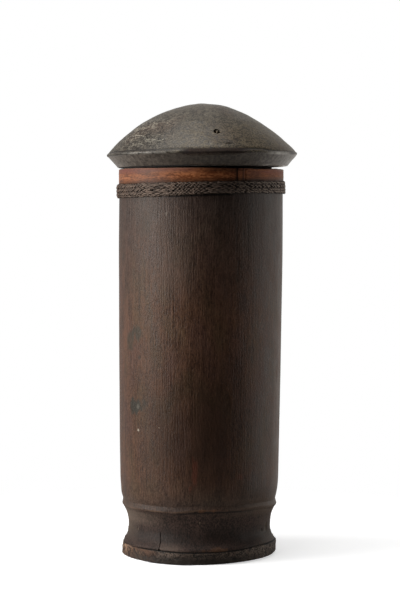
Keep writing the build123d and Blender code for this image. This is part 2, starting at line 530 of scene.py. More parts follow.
def crack_line(azimuth, height, radius):
    """Distance across the foot's crack, and the crack's half width and depth at a height."""
    middle = -30.2 - 1.9 * ease((height - 9) / 17) + 0.2 * np.sin(height / 2.1)
    distance = np.radians(azimuth - middle) * radius
    width = 0.32 + 0.9 * ease((11.5 - height) / 2.6)
    return distance, width, 2.2 * ease((25 - height) / 6)


def tube_skin(azimuth, rings, seam):
    """Radii and heights of the worn tube, with the fields that its material reads."""
    radius, level, outer, around = spread(rings, azimuth)
    turn = around / 360
    rise = level / 310
    east = np.sin(np.radians(around))
    # Slow unevenness, calmer at the mouth
    worn = 0.15 * np.cos(np.radians(2 * around - 170)) + 0.1 * np.cos(np.radians(3 * around + 70))
    worn += 0.07 * patches(turn, rise, 52, 3, 11) + 0.05 * patches(turn, rise, 110, 9, 12)
    worn += 0.10 * patches(turn, rise, 9, 7, 13)
    worn *= 1 - 0.75 * ease((level - 262) / 20)
    # The ridge rises to the right, is chipped, rubbed and painted with a highlight on its crest, and has two
    # lines cut in below it
    uneven = 0.5 * ripple(turn, 9, 21)
    risen = 2.7 * band(around, -22, 4, 44, 84)
    height = level + outer * hump(level - RIDGE_HEIGHT, 9) * (uneven + risen)
    off_ridge = height - RIDGE_HEIGHT - risen - uneven - 0.2 * ripple(turn, 15, 24)
    chips = ease(1.6 * ripple(turn, 70, 22) - 0.2)
    worn += (0.12 - 0.5 * chips) * hump(off_ridge, 1.7)
    undercut = (0.55 + 0.45 * ripple(turn, 13, 23)) * (0.2 + 0.8 * ease((around + 28) / 14))
    line = hump(off_ridge + 2.3, 1.1) * undercut
    second = hump(off_ridge + 6.0, 1.2) * ease(ripple(turn, 10, 25) + 0.2)
    worn -= 0.7 * line + 0.25 * second
    rubbed = hump(off_ridge + 0.2, 1.3) * (0.55 + 0.45 * ripple(turn, 31, 26))
    rubbed *= 0.3 + 0.7 * hump(around + 22, 75)
    # Crack, chip and sunken peg ends
    distance, width, depth = crack_line(around, height, radius)
    crack = hump(distance, width) * (depth > 0)
    chip = hump(around - CHIP_AZIMUTH, 3.2) * hump(height - 24, 5.0)
    pegs = 0 * radius
    for spot, peg_height in base_peg_spots():
        apart = np.hypot(np.radians(wrapped(around - spot)) * radius, height - peg_height)
        pegs = np.maximum(pegs, hump(apart, 2.0))
    worn -= crack * depth + 1.3 * chip + 0.55 * ease(2.2 * pegs)
    # Swells and hollows that show in the outline
    for place, wide, middle, tall, swell in TUBE_SWELLS:
        worn += swell * hump(around - place, wide) * hump(height - middle, tall)
    worn -= 1.2 * hump(around + 85, 40) * band(height, 8, 10, 13, 20)
    worn += 0.12 + 0.08 * east + 0.15 * hump(height - 250, 45)
    # The seam with the base, at the foot's end
    foot_end = ease((seam + 13 - level) / 13) * (radius > 40)
    radius = radius + outer * worn
    edge = hump(level - seam, 1.5) * ease((radius - 55) / 2) * seam_dirt(around)
    fields = {"crack": crack * ease(depth / 0.6), "line": line + 0.5 * second, "peg": pegs, "chip": chip}
    fields.update(rubbed=rubbed, hollow=hump(off_ridge - 3.2, 3.4), edge=edge, inside=1 - outer)
    return radius, height + foot_end * seam_sway(around), fields


def make_tube():
    """The tube: barrel, nodal ridge, waisted foot, bore and floor. Hands back the height of its seam."""
    rings, seam = tube_rings(node_skin("body_tube", node_points("body_tube")))
    finer = [(spot, 2.4, 0.4) for spot, height in base_peg_spots()]
    finer += [(CRACK_AZIMUTH, 2.4, 0.2), (CHIP_AZIMUTH, 4.0, 0.5)]
    azimuth = azimuths(1.2, finer)
    radius, height, fields = tube_skin(azimuth, rings, seam)
    piece = turned_piece("tube", azimuth, radius, height, sharp_angle=38)
    set_fields(piece, fields)
    dress(piece, "body_tube", "body", tube_material())
    return seam


def tube_material():
    """Dark smoked culm: upright fibres, redder streaks, stains, painted shade in the lines and a handled
    sheen.
    """
    paint = Paint("tube_wood")
    across, level = paint.axis("X"), paint.axis("Z")
    fibres = paint.noise((1250, 1250, 230))
    threads = paint.noise((900, 900, 34))
    streaks = paint.noise((260, 260, 13))
    blotches = paint.noise((120, 120, 60), 3.0, 0.55)
    clouds = paint.noise((24, 24, 15), 4.0, 0.6)
    grain = paint.noise((1100, 1100, 700))
    hues = paint.noise((60, 60, 26))
    tone = weighted((fibres, 1.6), (threads, 1.2), (streaks, 0.5), (blotches, 0.7), (grain, 1.4))
    paint.colour = tone.tint((55, 35, 25), (106, 75, 57))
    paint.lay(hues.span(0.52, 0.66, 0, 0.4), tone.tint((50, 40, 25), (90, 76, 52)))
    paint.lay(hues.span(0.46, 0.34, 0, 0.3), tone.tint((54, 34, 33), (98, 70, 66)))
    paint.lay(clouds.span(0.44, 0.66) * blotches.span(0.35, 0.65) * 0.5, (110, 70, 48))
    lay_barrel(paint, across, level, tone, clouds)
    dust = weighted((fibres, 1.6), (grain, 4.0), (blotches, 1.4))
    lay_foot(paint, across, level, dust)
    lay_tube_wear(paint, across, level, blotches)
    rough = weighted((fibres, 1.0), (blotches, 1.0)).span(0.2, 0.8, 0.4, 0.56)
    rough = rough + level.span(50, 35) * 0.14
    calm = across.span(15, 45, 1.0, 0.45)
    paint.relief(fibres * calm, 0.5, 0.5)
    paint.relief(threads * calm, 0.4, 0.6)
    paint.relief(grain, 0.4, 0.4)
    return paint.finish(Roughness=rough, Specular_IOR_Level=0.25)


def lay_barrel(paint, across, level, tone, clouds):
    """The barrel's tones: darker low in front and at the right, paler high at the left, grey to the top, worn
    to the foot.
    """
    dim = level.span(180, 115, 0, 0.5) * level.span(55, 85, 0.55, 1)
    dim = dim + across.window(-10, 4, 16, 30) * 0.2
    paint.lay(dim * (across.window(-55, -30, 20, 36) + 0.15), (42, 28, 21))
    paler_high_left = level.window(200, 225, 270, 290) * across.window(-40, -30, -12, 0)
    paint.lay(paler_high_left * 0.22, (132, 114, 104))
    paint.lay(across.span(-50, -60, 0, 0.12), (92, 102, 108))
    grey = (level + clouds * 80).span(230, 320, 0, 0.75)
    paint.lay(grey, tone.tint((40, 33, 31), (78, 68, 64)))
    paint.lay(level.span(66, 46, 0, 0.6), tone.tint((46, 36, 30), (94, 80, 71)))
    dull = level.span(170, 120, 0, 0.25) + level.span(85, 65, 0, 0.2)
    paint.lay(dull * across.window(20, 32, 44, 62), (32, 27, 23))


def lay_foot(paint, across, level, dust):
    """The foot's dirt, painted shade on its flare, painted light at both sides and under the ridge at the
    left, and paler and darker parts of its lip.
    """
    foot = level.span(50, 35)
    lip = level.span(17, 12)
    paint.lay(foot * 0.85, dust.tint((29, 20, 18), (78, 60, 55)))
    # Painted shade on the flare, which faces up into the top light
    paint.lay(level.window(8, 17, 21, 30) * 0.6, (24, 15, 12))
    # Painted light at both sides of the foot
    paint.lay(foot * across.span(42, 58, 0, 0.3), (112, 98, 88))
    paint.lay(foot * across.span(-45, -56, 0, 0.3) * level.span(11, 21), (128, 114, 102))
    # Painted light under the ridge at the left
    paint.lay(level.window(26, 30, 36, 39) * across.span(-22, -44, 0, 0.24), (128, 114, 102))
    paint.lay(foot * across.window(-34, -27, -14, -6) * level.span(12, 17) * 0.3, (24, 17, 14))
    paint.lay(lip * across.window(-34, -28, -18, -10) * 0.3, (124, 108, 98))
    paint.lay(lip * across.window(-11, -5, 2, 8) * 0.35, (20, 15, 12))


def lay_tube_wear(paint, across, level, blotches):
    """Colour where the tube's shape has it: painted shade and highlights at the ridge, wear and dirt in seam,
    crack and pegs, its marks, and a painted shadow under the plait.
    """
    # Painted shade in the hollow above the ridge
    paint.lay_fields([("hollow", 0.1, 0.9, 0.12, (44, 31, 25))])
    # Painted light on the ridge at the right
    paint.lay(level.window(34, 38, 44, 52) * across.span(10, 50, 0, 0.25), (132, 112, 98))
    paint.lay_fields([
        # Painted highlight on the ridge's rubbed crest, strongest at the front left
        ("rubbed", 0.15, 0.8, 0.6, (136, 108, 88)),
        # Painted shade in the lines cut below the ridge
        ("line", 0.05, 0.7, 0.88, (14, 9, 8)),
        ("edge", 0.25, 0.8, 0.92, (9, 6, 5)),
        ("crack", 0.1, 0.5, 1.0, (8, 6, 5)),
        ("peg", 0.1, 0.5, 0.45, (22, 15, 12)),
        ("chip", 0.1, 0.7, 0.5, (128, 116, 100)),
        ("inside", 0.3, 0.9, 0.6, (70, 50, 36)),
    ])
    barrel_radius, foot_radius, barrel_start = 64, 60, 62
    for azimuth, height, wide, tall, strength, tint in TUBE_MARKS:
        radius = barrel_radius if height > barrel_start else foot_radius
        paint.lay(paint.spot(azimuth, height, radius, wide, tall, blotches) * strength, tint)
    # Painted shadow under the plait
    plait_slant = 0.044
    under = (level - across * plait_slant).window(284.2, 285.2, 286.4, 287)
    paint.lay(under * across.window(-34, -20, 20, 30) * 0.8, (12, 9, 8))


# Base disc and its pegs


def base_rings(azimuth, seam, rim_radius, spigot, spigot_top):
    """Radii and heights of the unworn base disc's rings, its upper edge, and its underside's lift."""
    flat = 0 * azimuth
    wear = (0.5 + 0.5 * np.sin(np.radians(azimuth - 8))) ** 2
    lifted = 1.1 * ease(np.sin(np.radians(azimuth)) + 0.12)
    round_height = 0.6 + 2.1 * wear
    round_width = 0.5 + 2.3 * wear
    round_top = lifted + round_height
    upper = seam + seam_sway(azimuth)
    rings = [(flat + radius, share * lifted) for radius, share in ((10, 0), (30, 0), (48, 0), (54, 0.35))]
    for angle in np.radians(np.arange(0, 91, 10)):
        radius = rim_radius - round_width * (1 - math.sin(angle))
        rings.append((radius, lifted + round_height * (1 - math.cos(angle))))
    for share in np.linspace(0.04, 1, 22):
        rings.append((flat + rim_radius, round_top + (upper - 0.85 - round_top) * share))
    for inset, drop in ((0.1, 0.5), (0.35, 0.2), (0.8, 0.04), (1.6, 0.0), (6.0, 0.0)):
        rings.append((flat + rim_radius - inset, upper - drop))
    rings.append((flat + spigot, upper))
    for radius, step in ((spigot, 14), (spigot, 27), (spigot - 1, 28), (24, 28), (8, 28)):
        rings.append((flat + radius, flat + min(seam + step, spigot_top)))
    radius, height = np.array(rings).transpose(1, 0, 2)
    return radius, height, upper, lifted


def base_skin(azimuth, seam, rim_radius, spigot, spigot_top):
    """Radii and heights of the worn base disc, with the fields that its material reads."""
    radius, height, upper, lifted = base_rings(azimuth, seam, rim_radius, spigot, spigot_top)
    around = azimuth + 0 * radius
    arc = np.radians(around) * rim_radius
    rim = ease((radius - rim_radius + 3) / 1.5) * ease((upper + 0.2 - height) / 0.8)
    # Slanted torn fibre along the left of the rim, mottling elsewhere
    zone = band(around, -92, -78, -48, -22)
    slant = math.radians(38)
    across = arc * math.cos(slant) + height * math.sin(slant)
    along = height * math.cos(slant) - arc * math.sin(slant)
    torn = strokes(across, along, 0.9, 4.5, 31) + 0.6 * strokes(across, along, 2.0, 6.0, 32)
    mottle = strokes(arc, height, 1.3, 1.6, 33) + 0.7 * strokes(arc, height, 4.0, 2.4, 34)
    worn = zone * 0.34 * torn + (1 - zone) * 0.2 * mottle - 0.15 * zone
    # Swells and hollows that show in the outline
    worn += hump(around - 93, 66) * (0.85 + 0.15 * ease((height - 6) / 4))
    worn += 0.7 * hump(around + 62, 50) * ease((4 - height) / 4)
    worn -= 0.4 * hump(around + 88, 40) * ease((height - 4) / 3)
    worn += 0.22 * ripple(around / 360, 17, 35)
    radius = radius + rim * worn
    # Dirt in the seam, and darker towards the bottom
    edge = hump(upper - height, 1.3) * (radius > rim_radius - 4) * seam_dirt(around)
    edge *= 1 - 0.6 * band(around, 25, 40, 50, 62)
    low = ease((7.6 - height + lifted) / 5.0) * (radius > rim_radius - 5) * (1 - 0.3 * zone)
    low *= 1 - 0.6 * ease((np.sin(np.radians(around)) - 0.45) / 0.4)
    fields = {"low": low, "torn": zone * rim, "edge": edge}
    fields.update(fibre=0.5 + 0.35 * torn, pits=0.5 + 0.3 * mottle)
    return radius, height, fields


def make_base(seam):
    """The base disc, with its plug up into the foot."""
    points = node_points("base_disc")
    skin = node_skin("base_disc", points)
    azimuth = azimuths(0.9, [(-57, 36, 0.45)])
    sizes = (ring_radius(skin, 5), ring_radius(skin, seam + 12), points[:, 2].max())
    radius, height, fields = base_skin(azimuth, seam, *sizes)
    piece = turned_piece("base_plate", azimuth, radius, height, sharp_angle=42)
    set_fields(piece, fields)
    dress(piece, "base_disc", "body", base_material())


def base_material():
    """Dry dark wood, pitted all round, torn and redder along the left of the rim."""
    paint = Paint("base_wood")
    across = paint.axis("X")
    mottle = paint.noise((380, 380, 480), 3.0, 0.6)
    clouds = paint.noise((70, 70, 130), 3.0)
    fine = paint.noise((1300, 1300, 1300))
    tone = weighted((mottle, 4.6), (fine, 4.8), (paint.field("pits"), 0.9), (clouds, 0.8))
    torn = weighted((paint.field("fibre"), 3.0), (mottle, 4.6), (fine, 5.2))
    bare = clouds.span(0.42, 0.6, 0, 0.4).tint(torn.tint((13, 7, 5), (122, 95, 76)), (112, 62, 40))
    paint.colour = tone.tint((18, 14, 12), (104, 90, 81))
    paint.lay(across.span(20, 55), tone.tint((34, 28, 25), (136, 120, 109)))
    paint.lay(clouds.span(0.42, 0.7, 0, 0.5), (62, 44, 35))
    paint.lay_fields([("torn", 0.1, 0.9, 0.85, bare)])
    paint.lay(across.window(-55, -49, -37, -27) * 0.4, (34, 22, 16))
    paint.lay(across.span(-52, -58, 0, 0.55), torn.tint((34, 23, 18), (176, 146, 122)))
    paint.lay(across.window(-18, -10, 12, 22) * 0.4, (20, 15, 13))
    paint.lay_fields([("edge", 0.3, 0.85, 0.92, (9, 6, 5)), ("low", 0, 1, 0.85, (28, 22, 19))])
    paint.relief(mottle, 0.5, 0.8)
    paint.relief(fine, 0.35, 0.4)
    return paint.finish(Roughness=mottle.span(0.3, 0.7, 0.55, 0.75), Specular_IOR_Level=0.3)


def base_peg(group, index):
    """Rings of points of one base peg, from its end inward: a split pin, a little domed."""
    sides = 14
    peg_radius = 1.3
    middle = middle_of(group)
    reach = reach_of(group)
    direction = np.array([middle[0], middle[1], 0]) / math.hypot(middle[0], middle[1])
    aside = np.array([-direction[1], direction[0], 0])
    turn = 2 * np.pi * np.arange(sides)[:, None] / sides
    uneven = 1 + 0.06 * np.sin(3 * turn + index) + 0.04 * np.sin(5 * turn)
    sideways = aside * np.cos(turn) + np.array(UP) * np.sin(turn)
    face = reach.max() - 0.55
    rings = [(0.0, face + 0.25), (0.55, face + 0.12), (0.85, face - 0.05), (1.0, face - 0.5)]
    rings.append((1.0, reach.min()))
    form = [direction * depth + sideways * (peg_radius * share * uneven + 0.05) for share, depth in rings]
    return np.array(form) + (0, 0, middle[2])


def make_base_pegs():
    """The base pegs, whose ends show on the foot."""
    groups = peg_groups(node_points("base_pegs"))
    pegs = [base_peg(group, index) for index, group in enumerate(groups)]
    piece = make_piece("base_peg_ends", *rods(pegs), sharp_angle=40)
    material = peg_material("base_peg_wood", (52, 38, 30), (104, 84, 68))
    dress(piece, "base_pegs", "body", material)


def peg_material(name, dark, light):
    """Split pegs: pale end grain with darker pores."""
    paint = Paint(name)
    pores = paint.noise((2600, 2600, 2600), 2.0, 0.6)
    paint.colour = pores.span(0.4, 0.65).tint(dark, light)
    paint.relief(pores, 0.4, 0.3)
    return paint.finish(Roughness=0.6)


# Rim hoop


HOOP_SLIT = 0.3  # between a lap end and the step that it butts on
HOOP_RADIUS = 64.0


def slit_azimuth(points):
    """Azimuth of the hoop's slit: the middle of the pair of corners that are as far apart as it is wide."""
    azimuth = np.unique(azimuth_of(points).round(3))
    slit = np.degrees(HOOP_SLIT / HOOP_RADIUS)
    index = np.argmin(np.abs(np.diff(azimuth) - slit))
    return (azimuth[index] + azimuth[index + 1]) / 2


def hoop_section(inner, outer, low, high):
    """Radius and height of the points round the hoop's section."""
    ease_by = 0.5
    side = [(outer, level) for level in between(low + 0.15, high - ease_by, 1.1)]
    crown = [(outer - 0.15, high - 0.15), (outer - ease_by, high), (inner + 0.1, high)]
    back = [(inner, level) for level in (high - 0.1, high - 6, low + 6, low)]
    return side + crown + back + [((inner + outer) / 2, low)]


def hoop_rings(outer_end, inner_end, inner, outer):
    """Azimuth with inner and outer radius of every section along the strip, from its outer lap end on."""
    middle = (inner + outer) / 2
    slit = math.degrees(HOOP_SLIT / 2 / outer)
    rings = [(azimuth, middle + 0.1, outer) for azimuth in between(outer_end + slit, inner_end, 0.35)]
    rings += [(azimuth, inner, outer) for azimuth in between(inner_end + 0.3, outer_end + 360 - slit, 0.85)]
    tongue = between(outer_end + 360, inner_end + 360 - 0.3, 0.8)
    return rings + [(azimuth, inner, middle - 0.1) for azimuth in tongue]


def hoop_form(rings, inner_end, low, high):
    """Rings of points along the worn strip, one for each section."""
    sections = np.array([hoop_section(near, far, low, high) for azimuth, near, far in rings])
    radius, height = sections[:, :, 0], sections[:, :, 1]
    azimuth = np.array(rings)[:, 0:1] + 0 * radius
    far = np.array(rings)[:, 2:3]
    turn = azimuth / 360
    level = (height - low) / (high - low)
    east = np.sin(np.radians(azimuth))
    outside = ease((radius - far + 0.8) / 0.6) * (far > far.max() - 0.01)
    worn = 0.09 * patches(turn, level, 11, 9, 41) + 0.06 * patches(turn, level, 37, 6, 42) - 0.1
    worn += 0.55 * ease((east - 0.6) / 0.4) + 0.3 * ease((-east - 0.6) / 0.4)
    worn -= 0.22 * hump(azimuth - inner_end, 0.5)
    top = ease((height - high + 1.0) / 0.8)
    nicks = ease(1.8 * ripple(turn, 90, 43) - 0.9)
    rise = 0.75 * ease((east - 0.7) / 0.25) - 0.12 - 0.16 * ripple(turn, 23, 44) - 0.35 * nicks
    return round_points(azimuth, radius + outside * worn, height + top * rise)


def make_hoop():
    """The rim hoop: one bent strip with lapped ends."""
    points = node_points("rim_hoop")
    reach = reach_of(points)
    inner, outer = reach.min(), reach.max()
    outer_end = slit_azimuth(points[reach > outer - 0.05])
    inner_end = slit_azimuth(points[reach < inner + 0.05])
    rings = hoop_rings(outer_end, inner_end, inner, outer)
    form = hoop_form(rings, inner_end, points[:, 2].min(), points[:, 2].max())
    piece = make_piece("mouth_hoop", *rods([form]), sharp_angle=40)
    azimuth = np.array(rings)[:, 0:1] + np.zeros(form.shape[:2])
    apart = wrapped(azimuth - outer_end)
    stained = np.maximum(hump(apart, 0.6), 0.72 * hump(apart + 0.7, 2.4))
    set_fields(piece, {"seam": stained + 0.6 * hump(azimuth - inner_end + 1.2, 1.9)})
    dress(piece, "rim_hoop", "body", hoop_material())


def hoop_material():
    """Red-brown wood with level grain, paler in front, darker next to the plait, dark at the lap, with a
    painted shadow of the lid at the rim.
    """
    paint = Paint("hoop_wood")
    across, level = paint.axis("X"), paint.axis("Z")
    grain = paint.noise((60, 60, 800), 3.0, 0.6)
    bands = paint.noise((22, 22, 240))
    clouds = paint.noise((70, 70, 130), 3.0)
    pores = paint.noise((420, 420, 1500))
    tone = weighted((grain, 2.6), (clouds, 1.6), (pores, 3.2))
    paint.colour = tone.tint((84, 45, 26), (180, 116, 80))
    paint.lay(clouds.span(0.42, 0.66, 0, 0.5), (150, 84, 42))
    paint.lay(across.window(-40, -5, 15, 50) * 0.7, tone.tint((140, 80, 46), (214, 138, 90)))
    paint.lay(across.span(-15, -40, 0, 0.3), (150, 112, 96))
    paint.lay(across.span(28, 50, 0, 0.4), (176, 98, 44))
    paint.lay(across.span(56, 64, 0, 0.4), (86, 58, 40))
    paint.lay(level.span(301.2, 304.5) * bands.span(0.36, 0.6, 0.1, 0.75), (132, 66, 56))
    paint.lay(pores.span(0.62, 0.72, 0, 0.4), (72, 38, 24))
    paint.lay(level.span(305.5, 306.4, 0, 0.45), (160, 124, 100))
    paint.lay(level.span(301.5, 304) * across.span(0, -12) * 0.22, (84, 98, 98))
    plait_slant = 0.026
    paint.lay((level - across * plait_slant).span(299.5, 296.2, 0, 0.85), (54, 36, 27))
    # Painted shadow of the lid on the hoop's upper front
    paint.lay(level.span(302.2, 304.4) * across.window(-12, 6, 24, 34) * 0.62, (34, 19, 15))
    paint.lay_fields([("seam", 0.1, 0.8, 0.9, (44, 19, 6))])
    # Painted shade on the hoop's top, in the gap under the lid
    paint.lay(level.span(306.2, 306.5, 0, 0.5), (14, 9, 7))
    paint.relief(grain, 0.3, 0.5)
    paint.relief(pores, 0.2, 0.3)
    return paint.finish(Roughness=grain.span(0.3, 0.7, 0.45, 0.62), Specular_IOR_Level=0.15)


# Plaited collar


PLAIT_STRANDS = 15
PLAIT_SWINGS = 7  # ways up and down across the band in one round
STRAND_WIDTH = 1.4
STRAND_THICKNESS = 1.1


def collar_matrix(points):
    """The collar's own frame: its middle, and the axis that its skewed ring turns about."""
    offsets = points - points.mean(0)
    axis = Vector(np.linalg.eigh(offsets.T @ offsets)[1][:, 0])
    axis = axis if axis.z > 0 else -axis
    return Matrix.Translation(UP * middle_of(points)[2]) @ frame_about(axis).to_4x4()


def plait_path(phase, half_height, seed):
    """Azimuth, sideways place and depth of one strand of a flat plait, over two and under two."""
    steps = 60 * PLAIT_SWINGS
    share = np.arange(steps) / steps
    # Across the band and back, with a little wander
    wander = 0.5 * ripple(share, 17, 51) + 0.14 * ripple(share, 60, seed)
    swing = 2 * np.pi * (PLAIT_SWINGS * share + phase) + wander
    swing = np.mod(swing + np.pi, 2 * np.pi) - np.pi
    side = 1 - 2 * np.abs(swing) / np.pi
    side = np.sin(side * np.pi / 2) * 0.3 + side * 0.7
    # Over two strands and under two
    crossing = np.abs(swing) * PLAIT_STRANDS / np.pi
    over = np.where(np.mod(crossing - 0.5, 4) < 2, 1.0, -1.0) * np.sign(swing)
    places = [0, *np.arange(2.5, PLAIT_STRANDS - 1, 2), PLAIT_STRANDS]
    to_change = np.min([np.abs(crossing - place) for place in places], axis=0)
    lean = 0.6 * np.sin(2 * np.pi * share) * np.sign(swing)
    lean *= ease(np.minimum(crossing, PLAIT_STRANDS - crossing) / 1.5)
    # The band's lower edge is raised at the right
    azimuth = wrapped(share * 360)
    raised = 1.3 * band(azimuth, -35, 20, 110, 150) - 0.4 * hump(azimuth - 80, 50)
    level = side * half_height * (1 + 0.07 * ripple(share, 41, seed + 7)) + raised * ease(-side)
    return share * 360, level, np.clip(over * ease(to_change / 0.5) + lean, -1, 1)


def plait_strand(path, inner, outer):
    """Rings of points of one strand, a flattened tube along its path, and how high up each point lies."""
    azimuth, side, depth = path
    middle = (inner + outer) / 2
    slope = np.gradient(side, np.radians(azimuth) * middle)
    length = np.sqrt(1 + slope ** 2)
    corner = np.radians(np.arange(0, 360, 36))
    across = np.cos(corner) * STRAND_WIDTH / 2
    lift = np.sin(corner) * STRAND_THICKNESS / 2
    around = azimuth[:, None] - np.degrees((slope / length)[:, None] * across / middle)
    rounded = 0.5 * ease((np.abs(side) / np.abs(side).max() - 0.6) / 0.4)
    reach = middle + (outer - inner - STRAND_THICKNESS) / 2 * depth[:, None] + lift - rounded[:, None]
    crest = np.clip(np.sin(corner), 0, 1) * (0.5 + 0.5 * depth[:, None])
    return round_points(around, reach, side[:, None] + across / length[:, None]), crest


def make_plait():
    """The plaited collar: a flat plait worked round the mouth."""
    solid = node_points("plaited_collar")
    matrix = collar_matrix(solid)
    local = into_frame(solid, matrix)
    reach = reach_of(local)
    half_height = (np.ptp(local[:, 2]) - STRAND_WIDTH) / 2
    forms, crests, tints = [], [], []
    for number in range(PLAIT_STRANDS):
        path = plait_path(number / PLAIT_STRANDS, half_height, 60 + number)
        form, crest = plait_strand(path, reach.min(), reach.max())
        forms.append(form)
        crests.append(crest)
        tints.append((number * 4 % PLAIT_STRANDS) / PLAIT_STRANDS + 0 * crest)
    points, faces = rods(forms, closed=True)
    piece = make_piece("plaited_band", out_of_frame(points, matrix), faces, sharp_angle=60)
    set_fields(piece, {"crest": crests, "strand": tints})
    dress(piece, "plaited_collar", "body", plait_material())


def plait_material():
    """Dark twisted fibre, each strand a little different, paler at the sides, crests rubbed pale and painted
    with highlights, painted shade in between.
    """
    paint = Paint("plait")
    across, crest = paint.axis("X"), paint.field("crest")
    fibre = paint.noise((900, 900, 1500), 3.0, 0.6)
    clouds = paint.noise((260, 260, 420))
    tone = weighted((fibre, 1.8), (clouds, 1.6))
    paint.colour = tone.tint((52, 40, 34), (110, 92, 81))
    paler_sides = across.window(-62, -46, -26, -10).maths("MAXIMUM", across.span(34, 50))
    paint.lay(paler_sides * 0.55, tone.tint((74, 62, 55), (148, 130, 118)))
    paint.lay(across.window(-6, 8, 22, 34) * 0.4, (36, 28, 23))
    paint.lay(clouds.span(0.5, 0.7, 0, 0.4), (102, 74, 56))
    paint.lay_fields([("strand", 0, 1, 0.35, (66, 54, 47))])
    # Painted highlights on the crests, stronger at the right, over crests rubbed pale; painted shade between
    # the strands
    paint.lay(crest.span(0.7, 1) * clouds.span(0.35, 0.65, 0.2, 0.8), (140, 123, 112))
    paint.lay(crest.span(0.6, 1) * across.span(20, 45, 0, 0.6), (176, 158, 146))
    paint.lay(crest.span(0.75, 0.2) * across.span(0, 40, 0.6, 0.9), (30, 23, 20))
    paint.relief(fibre, 0.35, 0.4)
    return paint.finish(Roughness=0.65, Specular_IOR_Level=0.3)


# Lid


# Old cuts on the lid's left flank: corners as (azimuth, radius), mean radius, half width and strength
LONG_CUT = [(-66, 62.5), (-61.7, 62), (-48.4, 62.2), (-35.2, 68.4), (-34.5, 66.6)]
LONG_CUT += [(-29.6, 67.6), (-24, 65.8)]
LID_CUTS = [
    (LONG_CUT, 65, 0.95, 1.0),
    ([(-44.6, 69.3), (-39.6, 70.5)], 68, 0.8, 0.8),
    ([(-57.0, 67.0), (-50.0, 69.5)], 68, 0.8, 0.8),
    ([(-64.0, 66.5), (-58.5, 70.0)], 68, 0.8, 0.8),
]


def lid_matrix():
    """The lid's own frame: the middle of its seat, and the axis that it leans on."""
    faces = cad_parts["lid_plug"].data.polygons
    under = sum((face.normal * face.area for face in faces if face.normal.z < -0.99), Vector())
    matrix = frame_about(-under.normalized()).to_4x4()
    seat = middle_of(into_frame(node_points("lid_plug"), matrix))
    seat[2] = into_frame(node_points("lid_dome"), matrix)[:, 2].min()
    matrix.translation = matrix @ Vector(seat)
    return matrix


def lid_rings(skin, plug_radius, edge):
    """The lid's rings, from its socket out and up to its top."""
    seat = ring_radius(skin, 0.05)
    socket = plug_radius + 0.15
    socket_depth = 6.0
    nose = edge[1] - 0.6
    rings = [(radius, socket_depth, 0) for radius in (10, 34, socket)]
    rings += [(socket, 3.0, 0), (socket, 0.0, 0), (seat - 3, 0.0, 0), (seat - 0.3, 0.0, 0.5)]
    rings += [(ring_radius(skin, level), level, 1) for level in between(0.25, nose - 0.9, 0.6)]
    for inset, step in ((0.45, -0.55), (0.12, -0.15), (0, 0.35), (0.02, 0.85), (0.3, 1.25)):
        rings.append((edge[0] - inset, nose + step, 1))
    radii = [between(edge[0] - 0.75, 60.5, 0.42), between(60, 52, 0.3)]
    radii += [between(51.4, 42, 0.7), between(41, 3, 1.8)]
    return rings + [(radius, top_height(skin, radius), 1) for radius in np.concatenate(radii)]


def incised(azimuth, radius):
    """The old cuts on the lid's left flank, as a share of a full cut."""
    cuts = 0 * radius
    for corners, mean_radius, half_width, strength in LID_CUTS:
        for (start, near), (end, far) in zip(corners[:-1], corners[1:]):
            share = np.clip((azimuth - start) / (end - start), 0, 1)
            along = np.radians(azimuth - (start + (end - start) * share)) * mean_radius
            apart = np.hypot(along, radius - (near + (far - near) * share))
            cuts = np.maximum(cuts, strength * hump(apart, half_width))
    return cuts


def lid_cuts(around, reach, above, inside, flank):
    """How deep the lid's face is cut, and the fields that tell its material of cuts and of painted shade
    along the edge.
    """
    turn = around / 360
    from_edge = np.hypot(inside, above)
    # A groove along the edge, deepest at the left and nearer to the edge at the right
    left = band(around, -84, -74, -16, -6)
    right = band(around, 18, 26, 72, 80)
    waver = 0.5 * ripple(turn, 25, 74)
    groove = hump(from_edge - 2.5 - waver, 1.9) * flank * (0.3 + 0.7 * left)
    near = 2.0 - 2.1 * ease((around - 38) / 10)
    at_right = np.clip(1.35 * hump(from_edge - near - waver, 2.1), 0, 1)
    groove = np.maximum(groove, at_right * flank * right)
    # Old cuts and stippling at the left, a split at the front, notches in the edge
    cuts = incised(around, reach) * flank
    stipple = hump(around + 48, 26) * hump(reach - 54, 13)
    stipple *= ease(2.2 * strokes(around * 0.9, reach, 1.2, 1.3, 75) - 0.7)
    split = hump(reach - 70.4 - 0.5 * ripple(turn, 80, 80) - 0.09 * (around - 11), 0.45)
    split *= band(around, 9, 18, 19, 28) * flank * (0.65 + 0.35 * ripple(turn, 120, 84))
    notch = (hump(around - 70, 7) + 0.8 * hump(around + 10, 4)) * hump(above + 0.4, 2.4)
    notch *= ease((3 - inside) / 1.2)
    fields = {"cut": np.maximum(cuts, 0.7 * stipple), "groove": groove}
    fields["split"] = np.maximum(split, np.clip(1.6 * notch, 0, 1))
    # A band of painted shade above the edge at the left
    fields["edge_shade"] = hump(from_edge - 4.4, 4.6) * hump(around + 44, 13) * flank
    return 0.45 * groove + 0.38 * cuts + 0.28 * stipple + 0.8 * split, fields


def lid_edge_fields(around, above, inside, chipped):
    """The fields that tell the lid's material of the painted highlights on its worn arris and of its chipped
    front.
    """
    near_edge = ease((2.4 - inside) / 1.2)
    highlight_share = 0.25 + 0.75 * np.maximum(hump(around + 34, 26), hump(around - 55, 17))
    nose = hump(above + 0.6, 1.7) * near_edge * (1 - chipped) * highlight_share
    glint = hump(above + 1.4, 1.8) * near_edge * hump(around - 54, 15)
    return {"nose": nose, "glint": glint, "chip": chipped * band(above, -1.7, -0.7, 1.4, 3.6)}


